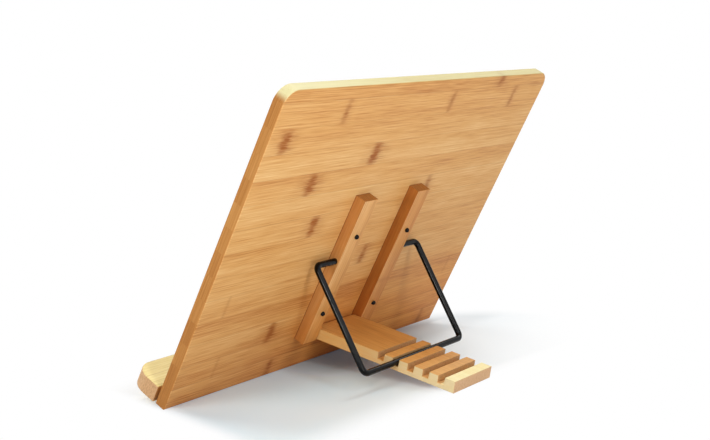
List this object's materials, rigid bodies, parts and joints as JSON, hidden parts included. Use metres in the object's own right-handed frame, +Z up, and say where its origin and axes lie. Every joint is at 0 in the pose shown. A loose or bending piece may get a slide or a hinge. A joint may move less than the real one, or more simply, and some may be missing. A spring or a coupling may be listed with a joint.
{
  "type": "photo album stand",
  "caption": "Bamboo album stand: leaning panel with a folding front ledge and page arms, held up by a slotted foot and a wire prop that stands in one of its notches.",
  "frame": {"origin": "on the table, below the middle of the stand's bounding box", "axes": "+Z up, +X along the panel's width, the reader sits at -Y and the panel leans back towards +Y"},
  "size_m": [0.34, 0.1832, 0.2243],
  "materials": {
    "bamboo_panel": "clear-coated carbonised bamboo, strips along the width",
    "bamboo_rib": "clear-coated carbonised bamboo, grain along the bar",
    "bamboo_foot": "clear-coated carbonised bamboo, grain along the foot",
    "bamboo_ledge": "clear-coated carbonised bamboo, grain along the ledge",
    "black_wire": "satin black powder coat",
    "black_arm": "satin black powder coat",
    "black_screw": "black phosphated steel",
    "plain_steel": "bright drawn steel",
    "hinge_metal": "brass-plated stamped steel",
    "soft_tip": "matt silicone",
    "washer_plastic": "plain nylon"
  },
  "bodies": {
    "stand": {"backboard": "bamboo_panel", "rib_left": "bamboo_rib", "rib_right": "bamboo_rib", "rib_screws": "black_screw", "foot_pin": "plain_steel", "hinge_board_leaf_left": "hinge_metal", "hinge_board_leaf_right": "hinge_metal", "hinge_pin_left": "plain_steel", "hinge_pin_right": "plain_steel", "hinge_board_screws": "hinge_metal"},
    "foot": {"slotted_foot": "bamboo_foot"},
    "prop": {"prop_wire": "black_wire"},
    "ledge": {"front_ledge": "bamboo_ledge", "hinge_ledge_leaf_left": "hinge_metal", "hinge_ledge_leaf_right": "hinge_metal", "hinge_ledge_screws": "hinge_metal", "arm_pivot_screws": "black_screw", "arm_washers": "washer_plastic"},
    "arm_left": {"page_arm_left": "black_arm", "arm_tip_left": "soft_tip"},
    "arm_right": {"page_arm_right": "black_arm", "arm_tip_right": "soft_tip"}
  },
  "joints": [
    {"name": "foot_hinge", "type": "hinge", "parent": "stand", "child": "foot", "pos_m": [0, -0.03447, 0.0286], "axis": [1, 0, 0], "range_deg": [-107, 0]},
    {"name": "prop_swing", "type": "hinge", "parent": "stand", "child": "prop", "pos_m": [0, -0.00118, 0.08995], "axis": [1, 0, 0], "range_deg": [0, 122]},
    {"name": "ledge_fold", "type": "hinge", "parent": "stand", "child": "ledge", "pos_m": [0, -0.05928, 0.0141], "axis": [-1, 0, 0], "range_deg": [0, 90]},
    {"name": "arm_left_swing", "type": "hinge", "parent": "ledge", "child": "arm_left", "pos_m": [-0.105, -0.08653, 0.0223], "axis": [0, 0.8829, -0.4695], "range_deg": [-180, 0]},
    {"name": "arm_right_swing", "type": "hinge", "parent": "ledge", "child": "arm_right", "pos_m": [0.105, -0.08653, 0.0223], "axis": [0, -0.8829, 0.4695], "range_deg": [-180, 0]}
  ]
}
